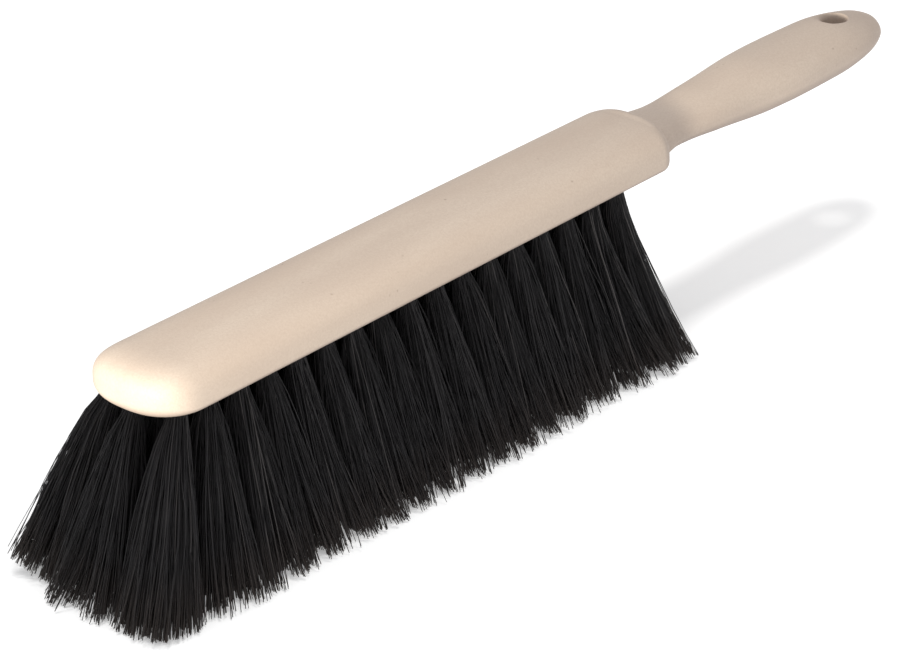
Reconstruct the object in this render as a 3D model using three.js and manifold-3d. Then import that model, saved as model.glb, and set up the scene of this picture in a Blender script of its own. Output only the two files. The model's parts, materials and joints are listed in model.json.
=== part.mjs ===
// Bench brush: a one-piece block and grip with three rows of bristle tufts set in drilled holes.
// Units are millimetres. +X runs from the nose of the block to the end of the grip and +Z is up.
// The origin is in the plane of the bristle tips, under the centre of the whole brush.

import * as THREE from 'three';
import { mergeVertices } from 'three/addons/utils/BufferGeometryUtils.js';
import Module from 'manifold-3d';

const wasm = await Module();
wasm.setup();

// Driving dimensions.
const BODY_LENGTH = 342;        // nose of the block to the end of the grip
const BLOCK_LENGTH = 224.4;     // nose of the block to its shoulder
const NOSE_WIDTH = 37;
const SHOULDER_WIDTH = 34.8;
const BLOCK_THICKNESS = 14;
const TRIM = 55;                // underside of the block to the bristle tips
const SIDE_SPLAY = 16.5;        // how far the tips stand out past the block's sides
const FRONT_SPLAY = 20;         // and past its nose

// Block: flat underside with a rounded edge, short upright sides and a crowned top.
const NOSE_ROUNDING = 17;       // length of the rounded nose in plan
const PLAN_POWER = 2.5;         // superellipse power of the nose and shoulder corners in plan
const CROWN_POWER = 3;          // superellipse power of the crowned top
const SIDE_BAND = 3;            // height at which the crown starts along the sides
const NOSE_BAND = 5.5;          // and at the nose
const EDGE_RADIUS = 2.2;        // rounding of the edge of the underside
const NOSE_EDGE_RADIUS = 5;     // and at the nose
const CORNER_ROUNDING = 7.3;    // length of the shoulder's rounded corners in plan
const ROLL_OFF = 8.4;           // length of its rounded top edge
const SHOULDER_POWER = 2.4;     // superellipse power of its top edge
const SIDE_FILLET = 2.6;        // softness of the inside curve between block and neck, in plan
const SIDE_FILLET_END = 23;     // distance past the shoulder at which it has faded out
const TOP_FILLET = 9;           // the same inside curve along the top
const TOP_FILLET_END = 26;
const NECK_START = -7.5;        // the section changes from block to grip between these
const NECK_END = 7.5;           // two distances past the shoulder
const NOSE_FLAT = 0.1;          // angle from the very nose at which the surface starts, on a small flat

// Grip, as [distance past the shoulder, value].
const GRIP_LENGTH = BODY_LENGTH - BLOCK_LENGTH;
const GRIP_HALF_WIDTH = [
  [-8, 13.3], [12, 11.8], [38, 12], [68, 13.9], [92, 13.2], [GRIP_LENGTH - 15, 12],
  [GRIP_LENGTH - 5, 8.3], [GRIP_LENGTH - 1, 3.8], [GRIP_LENGTH, 1.2],
];
const GRIP_HALF_THICKNESS = [
  [-8, 4.7], [12, 4.9], [30, 7.1], [55, 9.6], [88, 9.4], [GRIP_LENGTH - 9, 6.5],
  [GRIP_LENGTH - 2, 3.7], [GRIP_LENGTH, 1],
];
const GRIP_AXIS_HEIGHT = 4.5;   // middle of the grip above the block's underside
const HANG_HOLE_FROM_END = 19.3;
const HANG_HOLE_RADIUS = 4;
const HANG_RIM_RADIUS = 6;
const HANG_RIM_DEPTH = 2.5;

// Tufts.
const TUFT_PITCH = 11.7;
const SIDE_ROW_OFFSET = 12.5;
const HOLE_RADIUS = 3;
const HOLE_DEPTH = 8;
const FIT_GAP = 0.3;            // between a tuft and its hole
const TUFT_GAP = 0.4;           // between neighbouring tufts at the tips
const CENTRE_HALF_BAND = 11.5;  // half width of the centre row at the tips
const FAN_LENGTH = 58;          // the tips fan out over this much of each end of a row
const REAR_SPLAY = 7.5;         // how far the tips stand out past the last hole's share of the block
const COLLAR = 1.5;             // straight length of a tuft below its hole
const WAIST = 0.55;             // share of a tuft's height where it is still narrow
const WAIST_SPREAD = 0.3;       // and its share of the tips' spread there
const PATCH_POWER = 0.5;        // roundness of a tuft's patch of tips: 1 is an ellipse, 0 a rectangle
const CORNER_PATCH_POWER = 0.75;
const ROWS = [                  // the centre row is staggered and longer by one tuft
  { name: 'left', side: -1, tufts: 17, start: 11.5, frontEdge: -19 },
  { name: 'centre', side: 0, tufts: 18, start: 7, frontEdge: -FRONT_SPLAY - TUFT_GAP / 2 },
  { name: 'right', side: 1, tufts: 17, start: 11.5, frontEdge: -19 },
];

// Facets.
const NOSE_STEPS = 9;
const STRAIGHT_STEPS = 5;
const SHOULDER_STEPS = 16;
const GRIP_STEPS = 22;
const CROWN_STEPS = 20;
const UNDERSIDE_STEPS = 13;
const TUFT_SIDES = 12;
const HANG_HOLE_SIDES = 28;

const NOSE_X = (FRONT_SPLAY - BODY_LENGTH) / 2;
const TIP_HALF_WIDTH = NOSE_WIDTH / 2 + SIDE_SPLAY;

const bodyMaterial = new THREE.MeshStandardMaterial({ color: 0xd9c3ae, roughness: 0.75, metalness: 0 });
const bristleMaterial = new THREE.MeshStandardMaterial({ color: 0x211d1c, roughness: 0.6, metalness: 0 });

const { lerp, clamp, smoothstep } = THREE.MathUtils;

function range(count) {
  return Array.from({ length: count }, (_, i) => i);
}

// Smooth curve through a few [x, value] points, with no overshoot between them.
function profile(points, x) {
  const last = points.length - 1;
  const at = clamp(x, points[0][0], points[last][0] - 1e-6);
  const slopes = points.slice(1).map(([px, value], i) => (value - points[i][1]) / (px - points[i][0]));
  const tangents = points.map((point, i) => {
    const before = slopes[Math.max(i - 1, 0)];
    const after = slopes[Math.min(i, last - 1)];
    return before * after <= 0 ? 0 : (2 * before * after) / (before + after);
  });
  const i = points.findIndex(([px]) => px > at) - 1;
  const [x0, value0] = points[i];
  const [x1, value1] = points[i + 1];
  const t = (at - x0) / (x1 - x0);
  const bend = t * (1 - t) * (x1 - x0);
  return lerp(value0, value1, t * t * (3 - 2 * t)) + bend * (tangents[i] * (1 - t) - tangents[i + 1] * t);
}

// The larger of two values, with a rounded inside corner where they are equal.
function softMax(a, b, softness) {
  return (a + b + Math.hypot(a - b, softness)) / 2;
}

// Quarter of a superellipse: 1 at t = 0 and 0 at t = 1.
function quarterRound(t, power) {
  return (1 - clamp(t, 0, 1) ** power) ** (1 / power);
}

// A fillet's softness past the shoulder: it grows over the shoulder's rounding and then fades out.
function filletAt(past, softness, rounding, end) {
  return softness * smoothstep(past, -rounding, 0) * (1 - smoothstep(past, 0, end));
}

// Half width and top of the block where it meets the neck, at a distance past the shoulder.
function shoulderAt(past, straight, gripTop) {
  const blockHalfWidth = straight * quarterRound(1 + past / CORNER_ROUNDING, PLAN_POWER);
  const blockTop = BLOCK_THICKNESS * quarterRound(1 + past / ROLL_OFF, SHOULDER_POWER);
  const sideFillet = filletAt(past, SIDE_FILLET, CORNER_ROUNDING, SIDE_FILLET_END);
  const topFillet = filletAt(past, TOP_FILLET, ROLL_OFF, TOP_FILLET_END);
  return {
    width: past < -CORNER_ROUNDING
      ? straight
      : softMax(blockHalfWidth, profile(GRIP_HALF_WIDTH, past), sideFillet),
    top: past < -ROLL_OFF ? BLOCK_THICKNESS : softMax(blockTop, gripTop, topFillet),
  };
}

// Sizes of the block's or grip's cross-section at a distance from the nose, above the underside.
function outlineAt(distance) {
  const past = distance - BLOCK_LENGTH;
  const noseShare = Math.max(1 - distance / NOSE_ROUNDING, 0);
  const straight = lerp(NOSE_WIDTH, SHOULDER_WIDTH, distance / BLOCK_LENGTH) / 2;
  const toGrip = smoothstep(past, NECK_START, NECK_END);
  const gripHalfThickness = profile(GRIP_HALF_THICKNESS, past);
  const { width, top } = shoulderAt(past, straight, GRIP_AXIS_HEIGHT + gripHalfThickness);
  const bottom = (GRIP_AXIS_HEIGHT - gripHalfThickness) * toGrip;
  const bluntness = smoothstep(noseShare, 0, 1);
  const band = lerp(SIDE_BAND, NOSE_BAND, bluntness);
  return {
    toGrip,
    noseShare,
    straight: width,
    halfWidth: width * quarterRound(noseShare, PLAN_POWER),
    top,
    bottom,
    middle: (top + bottom) / 2,
    band: bottom + (band * (top - bottom)) / BLOCK_THICKNESS,
    edgeRadius: lerp(EDGE_RADIUS, NOSE_EDGE_RADIUS, bluntness),
  };
}

// How far out a point of the block is in plan: 0 in the middle and 1 on the outline.
function spreadAt(shape, across) {
  const reach = Math.abs(across / shape.straight);
  return (reach ** PLAN_POWER + shape.noseShare ** PLAN_POWER) ** (1 / PLAN_POWER);
}

// A point of the crowned top and sides: i runs from one side wall over the crown to the other.
function crownPoint(shape, i) {
  const angle = (Math.PI * i) / CROWN_STEPS;
  const turn = Math.sign(Math.cos(angle)) * Math.abs(Math.cos(angle)) ** (2 / CROWN_POWER);
  const across = shape.halfWidth * turn;
  const rounding = quarterRound(spreadAt(shape, across), CROWN_POWER);
  return [
    lerp(across, shape.halfWidth * Math.cos(angle), shape.toGrip),
    lerp(
      lerp(shape.band, shape.top, rounding),
      shape.middle + (shape.top - shape.middle) * Math.sin(angle),
      shape.toGrip,
    ),
  ];
}

// A point of the underside: flat with a rounded edge under the block, round under the grip.
function undersidePoint(shape, i) {
  const across = -shape.halfWidth * Math.cos((Math.PI * i) / UNDERSIDE_STEPS);
  const inset = (1 - spreadAt(shape, across)) * shape.straight;
  const rounding = 1 - quarterRound(1 - inset / shape.edgeRadius, 2);
  const angle = Math.PI * (1 + (i + 0.5) / (UNDERSIDE_STEPS + 1));
  return [
    lerp(across, shape.halfWidth * Math.cos(angle), shape.toGrip),
    lerp(
      shape.bottom + shape.edgeRadius * rounding,
      shape.middle + (shape.top - shape.middle) * Math.sin(angle),
      shape.toGrip,
    ),
  ];
}

// One cross-section of the block and grip: a closed ring, counter-clockwise seen from +X.
function bodyRing(distance) {
  const shape = outlineAt(distance);
  const ring = [
    ...range(CROWN_STEPS + 1).map((i) => crownPoint(shape, i)),
    ...range(UNDERSIDE_STEPS + 1).map((i) => undersidePoint(shape, i)),
  ];
  return ring.map(([y, z]) => new THREE.Vector3(NOSE_X + distance, y, TRIM + z));
}

// Distances from the nose where the body's cross-sections stand, closer where it curves.
function bodyStations() {
  const shoulderStart = BLOCK_LENGTH + NECK_START;
  const neckEnd = BLOCK_LENGTH + TOP_FILLET_END;
  const quarterTurns = (steps) => range(steps).map((i) => (Math.PI / 2) * ((i + 1) / steps));
  const noseAngles = [NOSE_FLAT, ...quarterTurns(NOSE_STEPS)];
  return [
    ...noseAngles.map((angle) => NOSE_ROUNDING * (1 - Math.max(Math.cos(angle), 0) ** (2 / PLAN_POWER))),
    ...range(STRAIGHT_STEPS).map((i) => lerp(NOSE_ROUNDING, shoulderStart, (i + 1) / STRAIGHT_STEPS)),
    ...range(SHOULDER_STEPS).map((i) => lerp(shoulderStart, neckEnd, (i + 1) / SHOULDER_STEPS)),
    ...quarterTurns(GRIP_STEPS).map((angle) => lerp(neckEnd, BODY_LENGTH, Math.sin(angle))),
  ];
}

// Closed surface through rings of points that each run counter-clockwise about the way they advance.
function loft(rings) {
  const sides = rings[0].length;
  const positions = [];
  const face = (...corners) => corners.forEach((corner) => positions.push(corner.x, corner.y, corner.z));
  const total = (ring) => ring.reduce((sum, point) => sum.add(point), new THREE.Vector3());
  const centreOf = (ring) => total(ring).divideScalar(sides);
  const first = rings[0];
  const last = rings[rings.length - 1];
  const firstCentre = centreOf(first);
  const lastCentre = centreOf(last);
  for (let j = 0; j < sides; j += 1) {
    const next = (j + 1) % sides;
    face(firstCentre, first[next], first[j]);
    face(lastCentre, last[j], last[next]);
    for (let i = 0; i < rings.length - 1; i += 1) {
      face(rings[i][j], rings[i][next], rings[i + 1][next]);
      face(rings[i][j], rings[i + 1][next], rings[i + 1][j]);
    }
  }
  const geometry = new THREE.BufferGeometry();
  geometry.setAttribute('position', new THREE.Float32BufferAttribute(positions, 3));
  return geometry;
}

// A three.js geometry as a solid that can be cut.
function solidFrom(geometry) {
  const bare = geometry.clone();
  bare.deleteAttribute('normal');
  bare.deleteAttribute('uv');
  const merged = mergeVertices(bare, 1e-4);
  return new wasm.Manifold(new wasm.Mesh({
    numProp: 3,
    vertProperties: new Float32Array(merged.attributes.position.array),
    triVerts: new Uint32Array(merged.index.array),
  }));
}

function geometryFrom(solid) {
  const mesh = solid.getMesh();
  const geometry = new THREE.BufferGeometry();
  geometry.setAttribute('position', new THREE.BufferAttribute(mesh.vertProperties, 3));
  geometry.setIndex(new THREE.BufferAttribute(mesh.triVerts, 1));
  return geometry;
}

// How far the tips lean along the brush from a place on the block, so that both ends fan out.
function leanAt(distance, row) {
  const startEdge = row.start - TUFT_PITCH / 2;
  const endEdge = row.start + TUFT_PITCH * (row.tufts - 0.5);
  const front = clamp(1 - (distance - startEdge) / FAN_LENGTH, 0, 1) ** 2;
  const rear = clamp(1 - (endEdge - distance) / FAN_LENGTH, 0, 1) ** 2;
  return REAR_SPLAY * rear - (startEdge - row.frontEdge) * front;
}

// Where one tuft leaves the block, the middle and half sizes of its tips, and its direction upwards.
function tuftPlace(row, index) {
  const distance = row.start + TUFT_PITCH * index;
  const frontEdge = distance - TUFT_PITCH / 2;
  const rearEdge = distance + TUFT_PITCH / 2;
  const tipFront = frontEdge + leanAt(frontEdge, row);
  const tipRear = rearEdge + leanAt(rearEdge, row);
  const sideBand = (TIP_HALF_WIDTH - CENTRE_HALF_BAND) / 2;
  const tipY = row.side * (CENTRE_HALF_BAND + sideBand);
  const mouth = new THREE.Vector3(NOSE_X + distance, row.side * SIDE_ROW_OFFSET, TRIM);
  const tip = new THREE.Vector3(NOSE_X + (tipFront + tipRear) / 2, tipY, 0);
  return {
    mouth,
    tip,
    halfLength: (tipRear - tipFront - TUFT_GAP) / 2,
    halfWidth: (row.side === 0 ? CENTRE_HALF_BAND : sideBand) - TUFT_GAP / 2,
    up: mouth.clone().sub(tip).normalize(),
    atCorner: row.side !== 0 && (index === 0 || index === row.tufts - 1),
  };
}

function turnTo(up) {
  return new THREE.Quaternion().setFromUnitVectors(new THREE.Vector3(0, 1, 0), up);
}

// Blind hole for one tuft, drilled along the tuft's own direction.
function tuftDrill(place) {
  const length = HOLE_DEPTH * 2;
  const drill = new THREE.CylinderGeometry(HOLE_RADIUS, HOLE_RADIUS, length, TUFT_SIDES);
  drill.applyQuaternion(turnTo(place.up));
  drill.translate(place.mouth.x, place.mouth.y, place.mouth.z);
  return solidFrom(drill);
}

// Through hole for hanging, with a countersunk rim on both faces.
function hangingDrill() {
  const { top, bottom } = outlineAt(BODY_LENGTH - HANG_HOLE_FROM_END);
  const flare = HANG_RIM_RADIUS - HANG_HOLE_RADIUS;
  const outside = HANG_RIM_RADIUS + flare;
  const points = [
    [0, bottom - HANG_RIM_DEPTH], [outside, bottom - HANG_RIM_DEPTH],
    [HANG_HOLE_RADIUS, bottom + HANG_RIM_DEPTH], [HANG_HOLE_RADIUS, top - HANG_RIM_DEPTH],
    [outside, top + HANG_RIM_DEPTH], [0, top + HANG_RIM_DEPTH],
  ];
  const drill = new THREE.LatheGeometry(points.map(([r, z]) => new THREE.Vector2(r, z)), HANG_HOLE_SIDES);
  drill.rotateX(Math.PI / 2);
  drill.translate(NOSE_X + BODY_LENGTH - HANG_HOLE_FROM_END, 0, TRIM);
  return solidFrom(drill);
}

// One tuft: a round root that fills its hole and spreads into a rounded patch of tips.
function tuftGeometry(place) {
  const turn = turnTo(place.up);
  const power = place.atCorner ? CORNER_PATCH_POWER : PATCH_POWER;
  const rootRing = (along) => range(TUFT_SIDES).map((j) => {
    const angle = (2 * Math.PI * j) / TUFT_SIDES;
    const radius = HOLE_RADIUS - FIT_GAP;
    return new THREE.Vector3(radius * Math.cos(angle), along, -radius * Math.sin(angle))
      .applyQuaternion(turn).add(place.mouth);
  });
  const tipRing = range(TUFT_SIDES).map((j) => {
    const angle = (2 * Math.PI * j) / TUFT_SIDES;
    const x = Math.sign(Math.cos(angle)) * Math.abs(Math.cos(angle)) ** power * place.halfLength;
    const y = Math.sign(Math.sin(angle)) * Math.abs(Math.sin(angle)) ** power * place.halfWidth;
    return new THREE.Vector3(place.tip.x + x, place.tip.y + y, 0);
  });
  const collarRing = rootRing(-COLLAR);
  const collarCentre = place.mouth.clone().addScaledVector(place.up, -COLLAR);
  const waistRing = collarRing.map((point, j) => {
    const narrow = point.clone().sub(collarCentre);
    const wide = tipRing[j].clone().sub(place.tip);
    const centre = collarCentre.clone().lerp(place.tip, WAIST);
    return narrow.lerp(wide, WAIST_SPREAD).add(centre);
  });
  return loft([tipRing, waistRing, collarRing, rootRing(HOLE_DEPTH - FIT_GAP)]);
}

function addMesh(group, name, geometry, material) {
  const mesh = new THREE.Mesh(geometry, material);
  mesh.name = name;
  group.add(mesh);
}

const brush = new THREE.Group();
let body = solidFrom(loft(bodyStations().map(bodyRing))).subtract(hangingDrill());
for (const row of ROWS) {
  for (const index of range(row.tufts)) {
    const place = tuftPlace(row, index);
    body = body.subtract(tuftDrill(place));
    const number = String(index + 1).padStart(2, '0');
    addMesh(brush, `tuft_${row.name}_${number}`, tuftGeometry(place), bristleMaterial);
  }
}
addMesh(brush, 'handle_block', geometryFrom(body), bodyMaterial);

export default brush;
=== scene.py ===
import json
import math

import bpy
import numpy as np
from mathutils import Matrix, Vector


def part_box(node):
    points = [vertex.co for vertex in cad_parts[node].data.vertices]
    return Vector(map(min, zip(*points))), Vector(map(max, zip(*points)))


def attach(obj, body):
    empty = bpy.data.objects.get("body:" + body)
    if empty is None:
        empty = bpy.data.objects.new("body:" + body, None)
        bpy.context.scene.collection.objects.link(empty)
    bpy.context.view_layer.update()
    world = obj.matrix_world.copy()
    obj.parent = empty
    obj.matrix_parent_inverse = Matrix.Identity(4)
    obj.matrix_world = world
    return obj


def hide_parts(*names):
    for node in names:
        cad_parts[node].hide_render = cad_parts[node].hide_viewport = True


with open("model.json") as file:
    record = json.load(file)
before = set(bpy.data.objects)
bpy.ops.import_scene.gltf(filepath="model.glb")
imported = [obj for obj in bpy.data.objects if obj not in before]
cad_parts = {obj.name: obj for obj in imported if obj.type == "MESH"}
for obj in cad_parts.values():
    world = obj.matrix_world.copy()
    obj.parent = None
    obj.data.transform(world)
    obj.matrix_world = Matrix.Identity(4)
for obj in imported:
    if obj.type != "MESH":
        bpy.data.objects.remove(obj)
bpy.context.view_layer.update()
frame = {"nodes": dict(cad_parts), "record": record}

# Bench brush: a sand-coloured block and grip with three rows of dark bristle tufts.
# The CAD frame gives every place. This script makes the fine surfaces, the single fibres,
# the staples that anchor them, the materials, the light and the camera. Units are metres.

MM = 0.001

# The block and grip, as in the CAD source. Lengths are in millimetres.
BODY_LENGTH = 342
BLOCK_LENGTH = 224.4
NOSE_WIDTH = 37
SHOULDER_WIDTH = 34.8
BLOCK_THICKNESS = 14
NOSE_ROUNDING = 17
PLAN_POWER = 2.5
CROWN_POWER = 3
SIDE_BAND = 3
NOSE_BAND = 5.5
EDGE_RADIUS = 2.2
NOSE_EDGE_RADIUS = 5
CORNER_ROUNDING = 7.3
ROLL_OFF = 8.4
SHOULDER_POWER = 2.4
SIDE_FILLET = 2.6
SIDE_FILLET_END = 23
TOP_FILLET = 9
TOP_FILLET_END = 26
NECK_START = -7.5
NECK_END = 7.5

# Grip, as (distance past the shoulder, value).
GRIP_LENGTH = BODY_LENGTH - BLOCK_LENGTH
GRIP_HALF_WIDTH = [
    (-8, 13.3), (12, 11.8), (38, 12), (68, 13.9), (92, 13.2), (GRIP_LENGTH - 15, 12),
    (GRIP_LENGTH - 5, 8.3), (GRIP_LENGTH - 1, 3.8), (GRIP_LENGTH, 1.2),
]
GRIP_HALF_THICKNESS = [
    (-8, 4.7), (12, 4.9), (30, 7.1), (55, 9.6), (88, 9.4), (GRIP_LENGTH - 9, 6.5),
    (GRIP_LENGTH - 2, 3.7), (GRIP_LENGTH, 1),
]
GRIP_AXIS_HEIGHT = 4.5

# Holes. A softened rim starts a little wider and deeper than the CAD's straight one.
HANG_HOLE_FROM_END = 19.3
HANG_HOLE_RADIUS = 4
HANG_RIM_RADIUS = 6
HANG_RIM_DEPTH = 2.5
SOFT_RIM_WIDTH = 1.4
SOFT_RIM_DEPTH = 1.2
CUTTER_MARGIN = 3
TUFT_HOLE_RADIUS = 3
TUFT_HOLE_DEPTH = 8

# Facets of the fine surface.
CROWN_STEPS = 48
UNDERSIDE_STEPS = 34
NOSE_STEPS = 26
STRAIGHT_STEPS = 24
SHOULDER_STEPS = 44
GRIP_STEPS = 60
HOLE_SIDES = 32
RIM_STEPS = 8
FIRST_NOSE_TURN = 0.04
SHARP_ANGLE = math.radians(38)

# Single fibres, in millimetres where they are lengths.
FIBRES_PER_TUFT = 640
FAN_FIBRES = 1700  # the most, in the tufts that have the longest patches of tips
FIBRE_RADIUS = 0.17
RADIUS_RANGE = (0.75, 1.25)
FIBRE_LENGTH = 64.5  # from the mouth of the hole: too short to reach the floor at the corners
FIBRE_SIDES = 3
FIBRE_STEPS = 8
TIP_TAPER = 0.8  # share of the radius left at the tip
ROOT_RADIUS = 2.7
FIBRE_BOW = 0.35
RIPPLE = 0.28
RIPPLE_HALF_WAVES = 3
SHORT_SHARE = 0.06  # share of the fibres that stop short of the tips
SHORTEST = 0.82

# Locks: fibres of a tuft that cling together.
LOCKS_PER_TUFT = 140
LOCK_LENGTH_SCATTER = 0.6
FIBRE_LENGTH_SCATTER = 0.2
LOCK_BOW = 0.9
LOCK_PULL = (0.0, 0.5)  # share of the way to its lock that the tip of a fibre is drawn
LOCK_RISE = (0.15, 1.1)  # height of a lock's cut tips off the floor
FIBRE_RISE = 0.35  # how far a fibre ends above the rest of its lock

# How a tuft spreads from its hole to its patch of tips.
CORNER_TUFTS = ("tuft_left_01", "tuft_left_17", "tuft_right_01", "tuft_right_17")
DISC_POWER = 0.42
PATCH_POWER = 0.5  # 1 gives an oval patch of tips, and less a squarer one
CORNER_PATCH_POWER = 0.75
TIP_OVERLAP = 1.8
TIP_MIXING = 0.5  # 0 keeps the order that the fibres have at the root, 1 forgets it
CORNER_TIP_MIXING = 0.15
TIP_REACH = 1.3
CORNER_TIP_REACH = 1.04
WIDENING = (0.8, 1.8)  # powers of the way down a fibre: a higher one spreads later
CORNER_WIDENING = (0.75, 1.25)
TUFT_SCATTER = 0.9
REAR_FLARE = 0.45  # tufts that lean backwards spread later, by this much more in the power
REAR_LEAN = 5

# Stray fibres, which end in a neighbouring tuft's patch.
STRAY_SHARE = 0.055
STRAY_SCATTER = (5.0, 3.0)
STRAY_MARGIN = 9  # how far they stay inside the edge of all the patches together

# Tufts at the nose that stand out of line: how far their tips are moved along X and Y, and how much
# shorter their fibres are.
BENT = {
    "tuft_right_01": (2.2, 0.5, 4),
    "tuft_right_02": (1.5, 0, 1.5),
    "tuft_centre_01": (-1.2, 0, 0.5),
    "tuft_left_01": (-2.5, 0, 0),
}
NOT_BENT = (0, 0, 0)
SEED = 20

# Staples: flat wire bent over the middle of the fibres at the bottom of each hole.
STAPLE_DEPTH = 6.4
STAPLE_HALF_LENGTH = 2.5
STAPLE_WIDTH = 1.2
STAPLE_THICKNESS = 0.45
STAPLE_BEND = 0.8
STAPLE_CORNER = 0.12
STAPLE_END_GAP = 0.2
BEND_STEPS = 5

# Where the fibres pass beside the staple and over it, from the axis of the hole.
FOLD_REACH = 1.9
BESIDE_CLEARANCE = 0.95
BESIDE_SPREAD = 1.45
OVER_CLEARANCE = 0.25
OVER_RISE = 0.95

# Where the root, collar and tips of a CAD tuft are: heights above the underside, and for the tips
# above the floor.
ROOT_ABOVE = 2
COLLAR_RANGE = (-4, 1)
TIPS_BELOW = 1

# Colours, in linear light.
SAND_DARK = (0.485, 0.392, 0.325)
SAND_PALE = (0.54, 0.45, 0.378)
SAND_GRAIN = (0.41, 0.32, 0.26)
SPECK = (0.19, 0.135, 0.10)
# Painted shade: the colour that surfaces facing downwards are darkened towards.
UNDERSIDE_PAINTED_SHADE = (0.215, 0.165, 0.14)
BRISTLE_DARK = (0.0170, 0.0159, 0.0170)
BRISTLE_GREY = (0.0360, 0.0336, 0.0346)
BRISTLE_PALE = (0.098, 0.090, 0.088)
BRISTLE_TIP = (0.050, 0.038, 0.0325)
ZINC_DARK = (0.50, 0.50, 0.49)
ZINC_PALE = (0.62, 0.62, 0.62)
FLOOR_DARK = (0.93, 0.93, 0.93)
FLOOR_PALE = (0.95, 0.95, 0.95)

# Floor, lights and camera. Lengths are in metres, apart from the lens and its sensor, which are in
# millimetres. The X of a target is from the nose.
FLOOR_HALF_SIZE = 4.0
FLOOR_GLOW = 0.31  # lifts the floor to white, as a lit backdrop table does
WORLD_COLOUR = (0.97, 0.98, 1.0)
WORLD_STRENGTH = 0.615
SUN = {"direction": (0.14, 0.105, 1.0), "angle": math.radians(11), "strength": 1.03}
SUN_COLOUR = (1.0, 0.99, 0.97)
FRONT = {"direction": (-1.0, -0.35, 0.30), "distance": 0.62, "size": 0.12, "power": 8.2}
FRONT_COLOUR = (1.0, 0.96, 0.84)
FRONT_TARGET = (0.01, 0, 0.05)
CAMERA_AZIMUTH = math.radians(-46.43)
CAMERA_ELEVATION = math.radians(26.74)
CAMERA_ROLL = math.radians(-2.18)
CAMERA_DISTANCE = 1.3815
CAMERA_LENS = 182.8
CAMERA_SENSOR = 36.0
CAMERA_TARGET = (0.1365, 0, 0.0286)
CAMERA_CLIP = (0.05, 20.0)

BODY_NODE = "handle_block"
nose_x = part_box(BODY_NODE)[0].x
mounts = {mount["name"]: Vector(mount["pos_m"]) for mount in frame["record"]["mounts"]}
underside_z = mounts["block_underside"].z


# ---------------------------------------------------------------- small helpers

def lerp(a, b, t):
    return a + (b - a) * t


def clamp(value, low=0.0, high=1.0):
    return min(max(value, low), high)


def smoothstep(value, low, high):
    t = clamp((value - low) / (high - low))
    return t * t * (3 - 2 * t)


def profile(points, x):
    """Smooth curve through a few (x, value) points, with no overshoot between them."""
    last = len(points) - 1
    at = clamp(x, points[0][0], points[last][0] - 1e-6)
    slopes = [(b[1] - a[1]) / (b[0] - a[0]) for a, b in zip(points, points[1:])]
    tangents = []
    for i in range(len(points)):
        before, after = slopes[max(i - 1, 0)], slopes[min(i, last - 1)]
        tangents.append(0 if before * after <= 0 else 2 * before * after / (before + after))
    i = next(k for k, point in enumerate(points) if point[0] > at) - 1
    (x0, value0), (x1, value1) = points[i], points[i + 1]
    t = (at - x0) / (x1 - x0)
    bend = t * (1 - t) * (x1 - x0)
    straight = lerp(value0, value1, t * t * (3 - 2 * t))
    return straight + bend * (tangents[i] * (1 - t) - tangents[i + 1] * t)


def soft_max(a, b, softness):
    """The larger of two values, with a rounded inside corner where they are equal."""
    return (a + b + math.hypot(a - b, softness)) / 2


def quarter_round(t, power):
    """Quarter of a superellipse: 1 at t = 0 and 0 at t = 1."""
    return (1 - clamp(t) ** power) ** (1 / power)


def signed_power(value, power):
    return math.copysign(abs(value) ** power, value)


def new_object(name, mesh):
    piece = bpy.data.objects.new(name, mesh)
    bpy.context.scene.collection.objects.link(piece)
    return piece


# ---------------------------------------------------------------- block and grip

def outline_at(distance):
    """Sizes of the cross-section at a distance from the nose, in millimetres above the underside."""
    past = distance - BLOCK_LENGTH
    nose_share = max(1 - distance / NOSE_ROUNDING, 0)
    straight = lerp(NOSE_WIDTH, SHOULDER_WIDTH, distance / BLOCK_LENGTH) / 2
    to_grip = smoothstep(past, NECK_START, NECK_END)
    block_half_width = straight * quarter_round(1 + past / CORNER_ROUNDING, PLAN_POWER)
    block_top = BLOCK_THICKNESS * quarter_round(1 + past / ROLL_OFF, SHOULDER_POWER)
    grip_half_thickness = profile(GRIP_HALF_THICKNESS, past)
    width, top = straight, BLOCK_THICKNESS
    if past >= -CORNER_ROUNDING:
        starting = smoothstep(past, -CORNER_ROUNDING, 0)
        side_fillet = SIDE_FILLET * starting * (1 - smoothstep(past, 0, SIDE_FILLET_END))
        width = soft_max(block_half_width, profile(GRIP_HALF_WIDTH, past), side_fillet)
    if past >= -ROLL_OFF:
        starting = smoothstep(past, -ROLL_OFF, 0)
        top_fillet = TOP_FILLET * starting * (1 - smoothstep(past, 0, TOP_FILLET_END))
        top = soft_max(block_top, GRIP_AXIS_HEIGHT + grip_half_thickness, top_fillet)
    bottom = (GRIP_AXIS_HEIGHT - grip_half_thickness) * to_grip
    bluntness = smoothstep(nose_share, 0, 1)
    band = lerp(SIDE_BAND, NOSE_BAND, bluntness)
    return {
        "to_grip": to_grip,
        "nose_share": nose_share,
        "straight": width,
        "half_width": width * quarter_round(nose_share, PLAN_POWER),
        "top": top,
        "bottom": bottom,
        "middle": (top + bottom) / 2,
        "band": bottom + band * (top - bottom) / BLOCK_THICKNESS,
        "edge_radius": lerp(EDGE_RADIUS, NOSE_EDGE_RADIUS, bluntness),
    }


def spread_at(shape, across):
    """How far out a point of the block is in plan: 0 in the middle and 1 on the outline."""
    reach = abs(across / shape["straight"])
    return (reach ** PLAN_POWER + shape["nose_share"] ** PLAN_POWER) ** (1 / PLAN_POWER)


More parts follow.
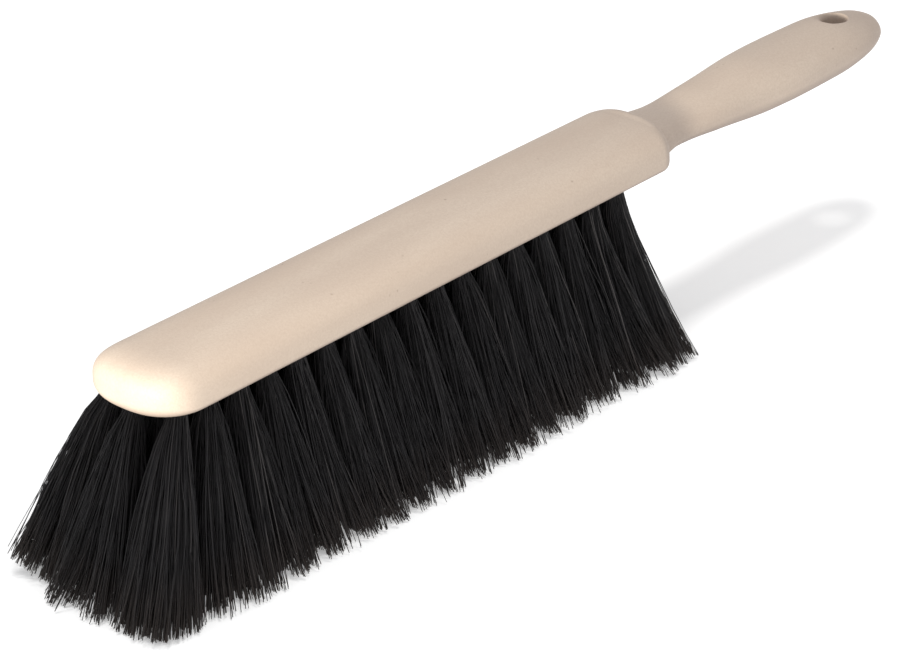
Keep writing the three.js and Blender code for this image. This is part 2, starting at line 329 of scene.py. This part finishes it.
def crown_points(shape):
    """The crowned top and upright sides, from the +Y side over to the -Y side."""
    to_grip = shape["to_grip"]
    for i in range(CROWN_STEPS + 1):
        angle = math.pi * i / CROWN_STEPS
        across = shape["half_width"] * signed_power(math.cos(angle), 2 / CROWN_POWER)
        rounding = quarter_round(spread_at(shape, across), CROWN_POWER)
        crowned = lerp(shape["band"], shape["top"], rounding)
        round_z = shape["middle"] + (shape["top"] - shape["middle"]) * math.sin(angle)
        yield (
            lerp(across, shape["half_width"] * math.cos(angle), to_grip),
            lerp(crowned, round_z, to_grip),
        )


def underside_points(shape):
    """The underside from -Y to +Y: flat with a rounded edge under the block, round under the grip."""
    to_grip = shape["to_grip"]
    for i in range(UNDERSIDE_STEPS + 1):
        across = -shape["half_width"] * math.cos(math.pi * i / UNDERSIDE_STEPS)
        inset = (1 - spread_at(shape, across)) * shape["straight"]
        rounding = 1 - quarter_round(1 - inset / shape["edge_radius"], 2)
        angle = math.pi * (1 + (i + 0.5) / (UNDERSIDE_STEPS + 1))
        round_z = shape["middle"] + (shape["top"] - shape["middle"]) * math.sin(angle)
        yield (
            lerp(across, shape["half_width"] * math.cos(angle), to_grip),
            lerp(shape["bottom"] + shape["edge_radius"] * rounding, round_z, to_grip),
        )


def body_stations():
    """Distances from the nose of the cross-sections, closer where the surface curves."""
    shoulder_start = BLOCK_LENGTH + NECK_START
    neck_end = BLOCK_LENGTH + TOP_FILLET_END
    nose_turns = [lerp(FIRST_NOSE_TURN, math.pi / 2, i / NOSE_STEPS) for i in range(NOSE_STEPS + 1)]
    stations = [NOSE_ROUNDING * (1 - max(math.cos(a), 0) ** (2 / PLAN_POWER)) for a in nose_turns]
    for start, end, steps in (
        (NOSE_ROUNDING, shoulder_start, STRAIGHT_STEPS),
        (shoulder_start, neck_end, SHOULDER_STEPS),
    ):
        stations += [lerp(start, end, (i + 1) / steps) for i in range(steps)]
    turns = [math.pi / 2 * (i + 1) / GRIP_STEPS for i in range(GRIP_STEPS)]
    return stations + [lerp(neck_end, BODY_LENGTH, math.sin(a)) for a in turns]


def loft(name, rings):
    """Closed mesh through rings of points, each counter-clockwise about the way the rings advance."""
    sides = len(rings[0])
    points = [point for ring in rings for point in ring]
    faces = [list(range(sides))[::-1], [len(points) - sides + j for j in range(sides)]]
    for i in range(len(rings) - 1):
        for j in range(sides):
            a, b = i * sides + j, i * sides + (j + 1) % sides
            faces.append([a, b, b + sides, a + sides])
    mesh = bpy.data.meshes.new(name)
    mesh.from_pydata(points, [], faces)
    return mesh


def body_ring(distance):
    """One cross-section of the block and grip: a closed ring, counter-clockwise seen from +X."""
    shape = outline_at(distance)
    ring = list(crown_points(shape)) + list(underside_points(shape))
    return [(nose_x + distance * MM, y * MM, underside_z + z * MM) for y, z in ring]


def hanging_cutter():
    """Hole near the end of the grip, with a rounded countersink on both faces."""
    distance = BODY_LENGTH - HANG_HOLE_FROM_END
    shape = outline_at(distance)
    flare = SOFT_RIM_WIDTH * (HANG_RIM_RADIUS - HANG_HOLE_RADIUS)
    rise = SOFT_RIM_DEPTH * HANG_RIM_DEPTH
    outline = []
    for face, sign in ((shape["bottom"], 1), (shape["top"], -1)):
        rim = []
        for i in range(RIM_STEPS + 1):
            turn = math.pi / 2 * i / RIM_STEPS
            rim.append((
                HANG_HOLE_RADIUS + flare * (1 - math.sin(turn)),
                face + sign * rise * (1 - math.cos(turn)),
            ))
        rim.insert(0, (rim[0][0] + CUTTER_MARGIN, face - sign * CUTTER_MARGIN))
        outline += rim if sign > 0 else rim[::-1]
    turns = [math.pi * j / HOLE_SIDES for j in range(2 * HOLE_SIDES)]
    rings = []
    for radius, z in outline:
        ring = []
        for turn in turns:
            x = nose_x + (distance + radius * math.cos(turn)) * MM
            ring.append((x, radius * math.sin(turn) * MM, underside_z + z * MM))
        rings.append(ring)
    return loft("hanging_cutter", rings)


def tuft_cutter(tuft):
    """Drill of one tuft hole, along the tuft's own direction."""
    rings = []
    for along in (-TUFT_HOLE_DEPTH * MM, TUFT_HOLE_DEPTH * MM):
        centre = tuft["mouth"] + tuft["up"] * along
        across = TUFT_HOLE_RADIUS * MM
        turns = [2 * math.pi * j / HOLE_SIDES for j in range(HOLE_SIDES)]
        rings.append([
            centre + (tuft["u"] * math.cos(a) + tuft["v"] * math.sin(a)) * across for a in turns
        ])
    return loft("tuft_cutter", rings)


def cut(piece, cutters):
    """Takes the cutters away from the piece and applies the result to its mesh."""
    helpers = []
    for mesh in cutters:
        helper = new_object("cutter", mesh)
        helpers.append(helper)
        modifier = piece.modifiers.new("cut", "BOOLEAN")
        modifier.object = helper
        modifier.operation = "DIFFERENCE"
        modifier.solver = "MANIFOLD"
    evaluated = piece.evaluated_get(bpy.context.evaluated_depsgraph_get())
    mesh = bpy.data.meshes.new_from_object(evaluated)
    piece.modifiers.clear()
    piece.data = mesh
    for helper in helpers:
        bpy.data.objects.remove(helper)


def make_body(tufts, material):
    """The block and grip with all its holes."""
    mesh = loft("block_and_grip", [body_ring(distance) for distance in body_stations()])
    piece = new_object("block_and_grip", mesh)
    cut(piece, [hanging_cutter()] + [tuft_cutter(tuft) for tuft in tufts.values()])
    piece.data.name = "block_and_grip"
    piece.data.polygons.foreach_set("use_smooth", [True] * len(piece.data.polygons))
    piece.data.set_sharp_from_angle(angle=SHARP_ANGLE)
    piece.data.materials.clear()
    piece.data.materials.append(material)
    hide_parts(BODY_NODE)
    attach(piece, "root")
    return piece


# ---------------------------------------------------------------- tufts

def tuft_place(node):
    """Mouth, direction and patch of tips of one tuft, read from its CAD solid."""
    points = np.array([vertex.co for vertex in frame["nodes"][node].data.vertices])
    height = points[:, 2] - underside_z
    low, high = COLLAR_RANGE
    root = points[height > ROOT_ABOVE * MM]
    collar = points[(height > low * MM) & (height < high * MM)]
    tips = points[points[:, 2] < TIPS_BELOW * MM]

    def middle(ring):
        return Vector((ring.min(0) + ring.max(0)) / 2)

    collar_middle = middle(collar)
    up = (middle(root) - collar_middle).normalized()
    u = up.cross(Vector((0, -1, 0))).normalized()
    u = u if u.x > 0 else -u
    at_corner = node in CORNER_TUFTS
    return {
        "mouth": collar_middle + up * ((underside_z - collar_middle.z) / up.z),
        "up": up,
        "u": u,
        "v": up.cross(u),
        "tip": middle(tips),
        "bent": BENT.get(node, NOT_BENT),
        "power": CORNER_PATCH_POWER if at_corner else PATCH_POWER,
        "mixing": CORNER_TIP_MIXING if at_corner else TIP_MIXING,
        "widening": CORNER_WIDENING if at_corner else WIDENING,
        "reach": CORNER_TIP_REACH if at_corner else TIP_REACH,
        "low": tips.min(0),
        "high": tips.max(0),
        "half_length": (tips[:, 0].max() - tips[:, 0].min()) / 2,
        "half_width": (tips[:, 1].max() - tips[:, 1].min()) / 2,
    }


def tip_area_of(tufts):
    """Lowest and highest corner of all the patches of tips."""
    low = np.min([tuft["low"] for tuft in tufts.values()], 0)
    high = np.max([tuft["high"] for tuft in tufts.values()], 0)
    return low, high


def random_disc(rng, count):
    """Points of the unit disc, a little closer together near its edge."""
    radius = rng.random(count) ** DISC_POWER
    angle = rng.random(count) * 2 * math.pi
    return np.stack([radius * np.cos(angle), radius * np.sin(angle)], 1)


def squared(disc, power):
    """Spreads points of the unit disc over the rounded square of a tuft's patch of tips."""
    radius = np.hypot(disc[:, 0], disc[:, 1])[:, None]
    turn = disc / np.maximum(radius, 1e-6)
    return radius * np.sign(turn) * np.abs(turn) ** power


def folded_back(values, low, high):
    """Values past either limit, mirrored back inside it."""
    inside = np.where(values < low, 2 * low - values, values)
    return np.where(inside > high, 2 * high - inside, inside)


def fibre_tips(tuft, area, root, locks, rng):
    """Where each fibre ends: drawn towards its lock, in a patch that runs into the neighbouring ones."""
    count = len(root)
    disc = lerp(root, random_disc(rng, count), tuft["mixing"]) * tuft["reach"]
    spread = squared(disc, tuft["power"])
    nearest = np.argmin(((spread[:, None] - locks[None]) ** 2).sum(2), 1)
    spread = lerp(spread, locks[nearest], rng.uniform(*LOCK_PULL, (count, 1)))
    half = np.array([tuft["half_length"], tuft["half_width"]]) + TIP_OVERLAP * MM
    scatter = 0 if any(tuft["bent"]) else TUFT_SCATTER
    shift = rng.normal(0, 1, 2) * scatter + np.array(tuft["bent"][:2])
    tips = np.array(tuft["tip"])[:2] + shift * MM + spread * half
    stray = rng.random(count) < STRAY_SHARE
    astray = tips[stray] + rng.normal(0, 1, (stray.sum(), 2)) * np.array(STRAY_SCATTER) * MM
    for axis in (0, 1):
        low, high = area[0][axis] + STRAY_MARGIN * MM, area[1][axis] - STRAY_MARGIN * MM
        tips[stray, axis] = folded_back(astray[:, axis], low, high)
    return tips, nearest


def tip_heights(tuft, tips, nearest, rng):
    """Tips are cut flush, but the widest splayed ones are too short to reach the floor."""
    count = len(tips)
    flush = rng.uniform(*LOCK_RISE, LOCKS_PER_TUFT)[nearest]
    flush += np.abs(rng.normal(0, FIBRE_RISE, count))
    mouth = tuft["mouth"]
    length = FIBRE_LENGTH - tuft["bent"][2]
    length = length + rng.normal(0, LOCK_LENGTH_SCATTER, LOCKS_PER_TUFT)[nearest]
    length += rng.normal(0, FIBRE_LENGTH_SCATTER, count)
    across = np.hypot(tips[:, 0] - mouth[0], tips[:, 1] - mouth[1])
    hanging = mouth[2] - np.sqrt(np.maximum((length * MM) ** 2 - across ** 2, 0))
    return np.maximum(hanging, flush * MM)


def fold_points(tuft, root):
    """The two points of each fibre above the mouth of its hole: over the staple, then beside it."""
    mouth, up, u, v = (np.array(tuft[key]) for key in ("mouth", "up", "u", "v"))
    side = np.sign(root[:, 1:])
    along = u * root[:, :1] * FOLD_REACH
    over = along + v * side * OVER_CLEARANCE + up * (STAPLE_DEPTH + OVER_RISE)
    beside = along + v * (side * BESIDE_CLEARANCE + root[:, 1:] * BESIDE_SPREAD) + up * STAPLE_DEPTH
    return [mouth + over * MM, mouth + beside * MM]


def fibre_paths(tuft, area, rng):
    """Points along every fibre of a tuft, from its fold over the staple to its tip."""
    count = round(clamp(tuft["crowding"], 1, FAN_FIBRES / FIBRES_PER_TUFT) * FIBRES_PER_TUFT)
    root = random_disc(rng, count)
    locks = squared(random_disc(rng, LOCKS_PER_TUFT), tuft["power"])
    mouth, u, v = (np.array(tuft[key]) for key in ("mouth", "u", "v"))
    tips, nearest = fibre_tips(tuft, area, root, locks, rng)
    start = mouth + (u * root[:, :1] + v * root[:, 1:]) * ROOT_RADIUS * MM
    end = np.concatenate([tips, tip_heights(tuft, tips, nearest, rng)[:, None]], 1)

    short = rng.random(count) < SHORT_SHARE
    reach = np.where(short, rng.uniform(SHORTEST, 1, count), 1)
    share = np.linspace(0, 1, FIBRE_STEPS)[None] * reach[:, None]
    flare = REAR_FLARE * clamp((tuft["tip"].x - tuft["mouth"].x) / (REAR_LEAN * MM))
    widen = share ** (rng.uniform(*tuft["widening"], count) + flare)[:, None]
    path = np.empty((count, FIBRE_STEPS, 3))
    path[:, :, :2] = lerp(start[:, None, :2], end[:, None, :2], widen[:, :, None])
    path[:, :, 2] = lerp(start[:, None, 2], end[:, None, 2], share)
    bow = rng.uniform(-LOCK_BOW, LOCK_BOW, (LOCKS_PER_TUFT, 2))[nearest] * MM
    bow += rng.normal(0, FIBRE_BOW * MM, (count, 2))
    ripple = rng.normal(0, RIPPLE * MM, (count, 2))
    path[:, :, :2] += bow[:, None] * np.sin(math.pi * share)[:, :, None]
    path[:, :, :2] += ripple[:, None] * np.sin(RIPPLE_HALF_WAVES * math.pi * share)[:, :, None]
    return np.concatenate([points[:, None] for points in fold_points(tuft, root)] + [path], 1)


def fibre_mesh(name, paths, rng):
    """Closed thin prisms along the paths, with a tone for each fibre and a share along it."""
    count, steps, _ = paths.shape
    phase = rng.random(count) * 2 * math.pi
    turns = phase[:, None] + np.arange(FIBRE_SIDES) * 2 * math.pi / FIBRE_SIDES
    ring = np.stack([np.cos(turns), np.sin(turns), np.zeros_like(turns)], 2)
    inside = steps - FIBRE_STEPS
    share = np.clip(np.arange(steps) - inside, 0, None) / (FIBRE_STEPS - 1)
    thickness = rng.uniform(*RADIUS_RANGE, count)[:, None] * lerp(1.0, TIP_TAPER, share)[None]
    points = paths[:, :, None] + ring[:, None] * (FIBRE_RADIUS * MM * thickness)[:, :, None, None]

    sides = np.arange(FIBRE_SIDES)
    following = (sides + 1) % FIBRE_SIDES
    quads = []
    for step in range(steps - 1):
        low, high = step * FIBRE_SIDES, (step + 1) * FIBRE_SIDES
        quads.append(np.stack([low + following, low + sides, high + sides, high + following], 1))
    quads = np.concatenate(quads)
    caps = np.array([sides, (steps - 1) * FIBRE_SIDES + sides[::-1]])
    offset = (np.arange(count) * steps * FIBRE_SIDES)[:, None, None]
    all_quads = (quads[None] + offset).reshape(-1, 4)
    all_caps = (caps[None] + offset).reshape(-1, FIBRE_SIDES)

    mesh = bpy.data.meshes.new(name)
    mesh.vertices.add(count * steps * FIBRE_SIDES)
    mesh.vertices.foreach_set("co", points.astype(np.float32).ravel())
    loops = np.concatenate([all_quads.ravel(), all_caps.ravel()])
    starts = np.concatenate([
        np.arange(len(all_quads)) * 4,
        len(all_quads) * 4 + np.arange(len(all_caps)) * FIBRE_SIDES,
    ])
    mesh.loops.add(len(loops))
    mesh.loops.foreach_set("vertex_index", loops.astype(np.int32))
    mesh.polygons.add(len(starts))
    mesh.polygons.foreach_set("loop_start", starts.astype(np.int32))
    mesh.polygons.foreach_set("use_smooth", np.ones(len(starts), bool))
    mesh.update(calc_edges=True)
    tone = mesh.attributes.new("tone", "FLOAT", "POINT")
    tone.data.foreach_set("value", np.repeat(rng.random(count), steps * FIBRE_SIDES).astype(np.float32))
    along = mesh.attributes.new("along", "FLOAT", "POINT")
    along.data.foreach_set("value", np.tile(np.repeat(share, FIBRE_SIDES), count).astype(np.float32))
    return mesh


def make_tuft(node, tuft, area, index, material):
    """All the fibres of one tuft, as one piece in place of its CAD solid."""
    rng = np.random.default_rng(SEED + index)
    name = node.replace("tuft", "bristles")
    piece = new_object(name, fibre_mesh(name, fibre_paths(tuft, area, rng), rng))
    piece.data.materials.append(material)
    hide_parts(node)
    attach(piece, "root")
    return piece


def staple_mesh(name, tuft):
    """A flat wire bent into a square arch, whose legs point away from the mouth of the hole."""
    straight = STAPLE_HALF_LENGTH - STAPLE_BEND
    leg_end = TUFT_HOLE_DEPTH - STAPLE_END_GAP
    half_path = [(straight * i / 2, STAPLE_DEPTH, 0.0) for i in (0, 1)]
    for i in range(BEND_STEPS + 1):
        turn = math.pi / 2 * i / BEND_STEPS
        half_path.append((
            straight + STAPLE_BEND * math.sin(turn),
            STAPLE_DEPTH + STAPLE_BEND * (1 - math.cos(turn)),
            turn,
        ))
    half_path.append((STAPLE_HALF_LENGTH, leg_end, math.pi / 2))
    path = [(-x, depth, -turn) for x, depth, turn in half_path[:0:-1]] + half_path
    half_width, half_thickness = STAPLE_WIDTH / 2, STAPLE_THICKNESS / 2
    section = []
    for sign_w, sign_t in ((1, 1), (-1, 1), (-1, -1), (1, -1)):
        long_side = (sign_w * (half_width - STAPLE_CORNER), sign_t * half_thickness)
        short_side = (sign_w * half_width, sign_t * (half_thickness - STAPLE_CORNER))
        section += [short_side, long_side] if sign_w == sign_t else [long_side, short_side]
    rings = []
    for x, depth, turn in path:
        normal = tuft["up"] * math.cos(turn) - tuft["u"] * math.sin(turn)
        centre = tuft["mouth"] + (tuft["u"] * x + tuft["up"] * depth) * MM
        rings.append([centre + (tuft["v"] * w + normal * t) * MM for w, t in section])
    return loft(name, rings)


def make_staple(node, tuft, material):
    """The staple over the fold of one tuft."""
    name = node.replace("tuft", "staple")
    piece = new_object(name, staple_mesh(name, tuft))
    piece.data.materials.append(material)
    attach(piece, "root")
    return piece


# ---------------------------------------------------------------- materials

class Nodes:
    """Short calls for building one material's node tree."""

    def __init__(self, name):
        self.material = bpy.data.materials.new(name)
        self.material.use_nodes = True
        self.tree = self.material.node_tree
        self.shader = self.tree.nodes["Principled BSDF"]

    def add(self, kind, **values):
        node = self.tree.nodes.new(kind)
        for key, value in values.items():
            if key in node.inputs:
                node.inputs[key].default_value = value
            else:
                setattr(node, key, value)
        return node

    def link(self, source, target):
        self.tree.links.new(source, target)

    def noise(self, vector, scale, detail=2.0, roughness=0.5):
        node = self.add("ShaderNodeTexNoise")
        node.inputs["Scale"].default_value = scale
        node.inputs["Detail"].default_value = detail
        node.inputs["Roughness"].default_value = roughness
        self.link(vector, node.inputs["Vector"])
        return node.outputs["Fac"]

    def stretched(self, scale):
        """Object coordinates, squeezed along each axis by scale."""
        source = self.add("ShaderNodeTexCoord")
        mapping = self.add("ShaderNodeMapping")
        mapping.inputs["Scale"].default_value = scale
        self.link(source.outputs["Object"], mapping.inputs["Vector"])
        return mapping.outputs["Vector"]

    def between(self, value, low, high, out_low=0.0, out_high=1.0):
        node = self.add("ShaderNodeMapRange")
        limits = {"From Min": low, "From Max": high, "To Min": out_low, "To Max": out_high}
        for key, number in limits.items():
            node.inputs[key].default_value = number
        self.link(value, node.inputs["Value"])
        return node.outputs["Result"]

    def mix(self, factor, first, second):
        node = self.add("ShaderNodeMix", data_type="RGBA")
        for socket, value in ((node.inputs[6], first), (node.inputs[7], second)):
            if isinstance(value, tuple):
                socket.default_value = (*value, 1.0)
            else:
                self.link(value, socket)
        self.link(factor, node.inputs[0])
        return node.outputs[2]

    def maths(self, operation, first, second):
        node = self.add("ShaderNodeMath", operation=operation)
        for socket, value in zip(node.inputs, (first, second)):
            if isinstance(value, (int, float)):
                socket.default_value = value
            else:
                self.link(value, socket)
        return node.outputs[0]

    def height_of_normal(self):
        """How far the surface faces upwards: -1 is straight down."""
        geometry = self.add("ShaderNodeNewGeometry")
        parts = self.add("ShaderNodeSeparateXYZ")
        self.link(geometry.outputs["Normal"], parts.inputs["Vector"])
        return parts.outputs["Z"]

    def attribute(self, name):
        node = self.add("ShaderNodeAttribute", attribute_name=name)
        return node.outputs["Fac"]


def body_material():
    """Matt, faintly mottled sand colour with fine grains, a few dark specks and painted shade on the
    surfaces that face downwards.
    """
    nodes = Nodes("sand_body")
    even = nodes.stretched((1, 1, 1))
    long = nodes.stretched((0.25, 1, 1))
    mottle = nodes.noise(long, 70, 3)
    grains = nodes.noise(even, 1500, 2, 0.7)
    colour = nodes.mix(nodes.between(mottle, 0.3, 0.7), SAND_DARK, SAND_PALE)
    colour = nodes.mix(nodes.between(grains, 0.35, 0.75, 0.0, 0.5), colour, SAND_GRAIN)
    specks = nodes.add("ShaderNodeTexVoronoi")
    specks.inputs["Scale"].default_value = 240
    nodes.link(even, specks.inputs["Vector"])
    rare = nodes.noise(even, 130, 0)
    near = nodes.between(specks.outputs["Distance"], 0.06, 0.14, 1.0, 0.0)
    speck = nodes.maths("MULTIPLY", near, nodes.between(rare, 0.64, 0.69))
    colour = nodes.mix(nodes.maths("MULTIPLY", speck, 0.45), colour, SPECK)
    # Painted shade: surfaces facing downwards are darkened, standing in for the shade under the block
    # and grip.
    painted_underside_shade = nodes.between(nodes.height_of_normal(), -0.2, -0.85, 0.0, 0.6)
    colour = nodes.mix(painted_underside_shade, colour, UNDERSIDE_PAINTED_SHADE)
    nodes.link(colour, nodes.shader.inputs["Base Color"])
    nodes.link(nodes.between(mottle, 0.3, 0.7, 0.62, 0.74), nodes.shader.inputs["Roughness"])
    bump = nodes.add("ShaderNodeBump")
    bump.inputs["Strength"].default_value = 0.35
    bump.inputs["Distance"].default_value = 0.00012
    nodes.link(grains, bump.inputs["Height"])
    nodes.link(bump.outputs["Normal"], nodes.shader.inputs["Normal"])
    return nodes.material


def bristle_material():
    """Near-black fibre with a faint satin gloss: a few are paler, and the cut tips are browner."""
    nodes = Nodes("dark_bristle")
    tone = nodes.attribute("tone")
    along = nodes.attribute("along")
    colour = nodes.mix(nodes.between(tone, 0.1, 0.9), BRISTLE_DARK, BRISTLE_GREY)
    colour = nodes.mix(nodes.between(tone, 0.92, 1.0), colour, BRISTLE_PALE)
    browning = nodes.between(tone, 0.0, 1.0, 0.3, 1.0)
    tips = nodes.maths("MULTIPLY", nodes.between(along, 0.7, 1.0), browning)
    colour = nodes.mix(tips, colour, BRISTLE_TIP)
    nodes.link(colour, nodes.shader.inputs["Base Color"])
    nodes.link(nodes.between(tone, 0.0, 1.0, 0.45, 0.62), nodes.shader.inputs["Roughness"])
    nodes.shader.inputs["Specular IOR Level"].default_value = 0.22
    return nodes.material


def staple_material():
    """Drawn galvanised wire: streaks along its length and a patchy dull bloom."""
    nodes = Nodes("galvanised_wire")
    streaks = nodes.noise(nodes.stretched((0.2, 3, 1)), 2500, 2, 0.6)
    bloom = nodes.noise(nodes.stretched((1, 1, 1)), 700, 2, 0.5)
    colour = nodes.mix(nodes.between(bloom, 0.35, 0.7), ZINC_DARK, ZINC_PALE)
    nodes.link(colour, nodes.shader.inputs["Base Color"])
    nodes.shader.inputs["Metallic"].default_value = 1.0
    nodes.link(nodes.between(streaks, 0.3, 0.7, 0.28, 0.5), nodes.shader.inputs["Roughness"])
    return nodes.material


# ---------------------------------------------------------------- floor, light and camera

def make_floor():
    size = FLOOR_HALF_SIZE
    mesh = bpy.data.meshes.new("floor")
    corners = [(-size, -size, 0), (size, -size, 0), (size, size, 0), (-size, size, 0)]
    mesh.from_pydata(corners, [], [(0, 1, 2, 3)])
    floor = new_object("floor", mesh)
    nodes = Nodes("pale_floor")
    shade = nodes.noise(nodes.stretched((1, 1, 1)), 3, 1)
    nodes.link(nodes.mix(shade, FLOOR_DARK, FLOOR_PALE), nodes.shader.inputs["Base Color"])
    nodes.shader.inputs["Roughness"].default_value = 0.9
    nodes.shader.inputs["Specular IOR Level"].default_value = 0.0
    nodes.shader.inputs["Emission Color"].default_value = (1.0, 1.0, 1.0, 1.0)
    nodes.shader.inputs["Emission Strength"].default_value = FLOOR_GLOW
    mesh.materials.append(nodes.material)
    return floor


def area_light(name, target, direction, distance, size, power, colour):
    data = bpy.data.lights.new(name, "AREA")
    data.shape = "DISK"
    data.size = size
    data.energy = power
    data.color = colour
    light = bpy.data.objects.new(name, data)
    bpy.context.scene.collection.objects.link(light)
    away = Vector(direction).normalized()
    light.location = target + away * distance
    light.rotation_mode = "QUATERNION"
    light.rotation_quaternion = away.to_track_quat("Z", "Y")
    return light


def sun_light(name, direction, angle, strength, colour):
    data = bpy.data.lights.new(name, "SUN")
    data.angle = angle
    data.energy = strength
    data.color = colour
    light = bpy.data.objects.new(name, data)
    bpy.context.scene.collection.objects.link(light)
    light.rotation_mode = "QUATERNION"
    light.rotation_quaternion = Vector(direction).normalized().to_track_quat("Z", "Y")


def make_world():
    world = bpy.data.worlds.new("studio")
    bpy.context.scene.world = world
    world.use_nodes = True
    background = world.node_tree.nodes["Background"]
    background.inputs["Color"].default_value = (*WORLD_COLOUR, 1.0)
    background.inputs["Strength"].default_value = WORLD_STRENGTH


def make_lights(unlit_by_front):
    """A broad light above, and a small warm one low in front of the nose, for the body alone."""
    nose = Vector((nose_x, 0, 0)) + Vector(FRONT_TARGET)
    sun_light("overhead", colour=SUN_COLOUR, **SUN)
    front = area_light("warm_front", nose, colour=FRONT_COLOUR, **FRONT)
    unlit = bpy.data.collections.new("unlit_by_front")
    for piece in unlit_by_front:
        unlit.objects.link(piece)
    for member in unlit.collection_objects:
        member.light_linking.link_state = "EXCLUDE"
    front.light_linking.receiver_collection = unlit


def make_camera():
    """The photograph's viewing angle: from the nose's side, looking down along the block."""
    level = math.cos(CAMERA_ELEVATION)
    back = Vector((
        math.sin(CAMERA_AZIMUTH) * level,
        -math.cos(CAMERA_AZIMUTH) * level,
        math.sin(CAMERA_ELEVATION),
    ))
    right = Vector((math.cos(CAMERA_AZIMUTH), math.sin(CAMERA_AZIMUTH), 0))
    up = back.cross(right)
    turned_right = right * math.cos(CAMERA_ROLL) + up * math.sin(CAMERA_ROLL)
    turned_up = up * math.cos(CAMERA_ROLL) - right * math.sin(CAMERA_ROLL)
    data = bpy.data.cameras.new("camera")
    data.lens = CAMERA_LENS
    data.sensor_width = CAMERA_SENSOR
    data.clip_start, data.clip_end = CAMERA_CLIP
    camera = bpy.data.objects.new("camera", data)
    bpy.context.scene.collection.objects.link(camera)
    place = Matrix((turned_right, turned_up, back)).transposed().to_4x4()
    place.translation = Vector((nose_x, 0, 0)) + Vector(CAMERA_TARGET) + back * CAMERA_DISTANCE
    camera.matrix_world = place
    bpy.context.scene.camera = camera


def main():
    make_camera()
    make_world()
    unlit = [make_floor()]
    bpy.context.scene.view_settings.view_transform = "Standard"
    tuft_nodes = sorted(node for node in frame["nodes"] if node.startswith("tuft_"))
    tufts = {node: tuft_place(node) for node in tuft_nodes}
    make_body(tufts, body_material())
    bristle, wire = bristle_material(), staple_material()
    area = tip_area_of(tufts)
    shortest = min(tuft["half_length"] for tuft in tufts.values())
    for index, (node, tuft) in enumerate(tufts.items()):
        tuft["crowding"] = tuft["half_length"] / shortest
        unlit.append(make_tuft(node, tuft, area, index, bristle))
        make_staple(node, tuft, wire)
    make_lights(unlit)


main()
